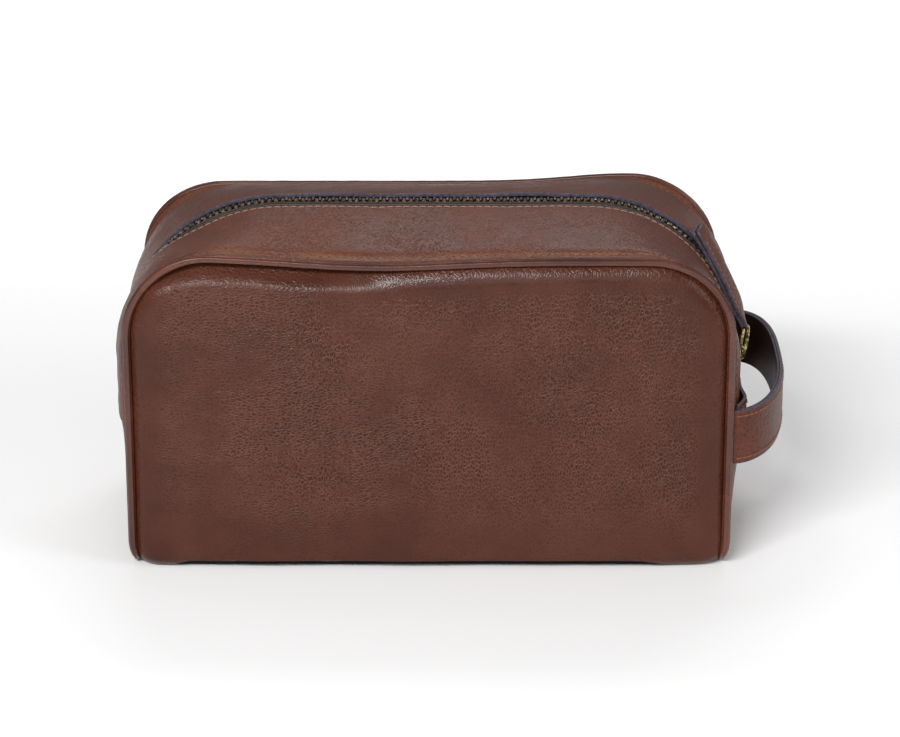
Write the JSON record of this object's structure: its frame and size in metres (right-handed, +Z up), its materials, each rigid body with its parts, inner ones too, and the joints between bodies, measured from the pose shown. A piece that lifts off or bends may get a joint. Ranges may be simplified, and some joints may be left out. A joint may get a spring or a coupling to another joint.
{
  "type": "shaving kit bag",
  "caption": "Leather shaving kit bag with a piped front and back, a domed gusset closed by a curved metal zip with a leather puller, and a carrying handle at one end.",
  "frame": {"origin": "centre of the base's resting face", "axes": "+Z up, +X towards the end with the handle and along the bag's length, -Y towards the front panel"},
  "size_m": [0.2995, 0.12, 0.1535],
  "materials": {
    "leather": "pebbled, semi-gloss pull-up leather",
    "piping_leather": "smooth, semi-gloss leather",
    "puller_leather": "smooth leather with painted edges",
    "dark_leather": "smooth, matte leather",
    "lining": "woven",
    "zip_tape": "woven",
    "stiffener": "felted fibre",
    "brass": "antiqued, satin"
  },
  "bodies": {
    "root": {"back_interlining": "stiffener", "back_left_gusset": "leather", "back_left_gusset_lining": "lining", "back_left_zip_tape": "zip_tape", "back_left_zip_teeth": "brass", "back_piping": "piping_leather", "back_piping_cord": "stiffener", "back_right_gusset": "leather", "back_right_gusset_lining": "lining", "back_right_zip_tape": "zip_tape", "back_right_zip_teeth": "brass", "base_board": "stiffener", "body_lining": "lining", "body_wrap": "leather", "front_interlining": "stiffener", "front_left_gusset": "leather", "front_left_gusset_lining": "lining", "front_left_zip_tape": "zip_tape", "front_left_zip_teeth": "brass", "front_piping": "piping_leather", "front_piping_cord": "stiffener", "front_right_gusset": "leather", "front_right_gusset_lining": "lining", "front_right_zip_tape": "zip_tape", "front_right_zip_teeth": "brass", "handle_core": "stiffener", "handle_lining": "dark_leather", "handle_outer": "leather", "handle_patch": "leather", "left_side_lining": "lining", "left_side_panel": "leather", "left_zip_stop": "brass", "right_side_lining": "lining", "right_side_panel": "leather", "right_zip_stop": "brass"},
    "front_flap": {"front_top_gusset": "leather", "front_top_gusset_lining": "lining", "front_top_zip_tape": "zip_tape", "front_top_zip_teeth": "brass"},
    "back_flap": {"back_top_gusset": "leather", "back_top_gusset_lining": "lining", "back_top_zip_tape": "zip_tape", "back_top_zip_teeth": "brass"},
    "zip_slider": {"slider_upper_wing": "brass", "slider_lower_wing": "brass", "slider_bail": "brass"},
    "ring": {"pull_ring": "brass"},
    "puller": {"puller_loop": "puller_leather", "puller_front": "puller_leather", "puller_back": "puller_leather"}
  },
  "joints": [
    {"name": "slider_travel", "type": "hinge", "parent": "root", "child": "zip_slider", "pos_m": [0.07, 0, 0.085], "axis": [0, -1, 0], "range_deg": [0, 68]},
    {"name": "ring_swing", "type": "hinge", "parent": "zip_slider", "child": "ring", "pos_m": [0.1413, 0, 0.0792], "axis": [0, 1, 0], "range_deg": [0, 75]},
    {"name": "puller_swing", "type": "hinge", "parent": "ring", "child": "puller", "pos_m": [0.14243, 0, 0.09215], "axis": [0, 1, 0], "range_deg": [0, 60]},
    {"name": "front_flap_open", "type": "hinge", "parent": "root", "child": "front_flap", "pos_m": [0, -0.056, 0.143], "axis": [1, 0, 0], "range_deg": [0, 60]},
    {"name": "back_flap_open", "type": "hinge", "parent": "root", "child": "back_flap", "pos_m": [0, 0.056, 0.143], "axis": [-1, 0, 0], "range_deg": [0, 60]}
  ]
}
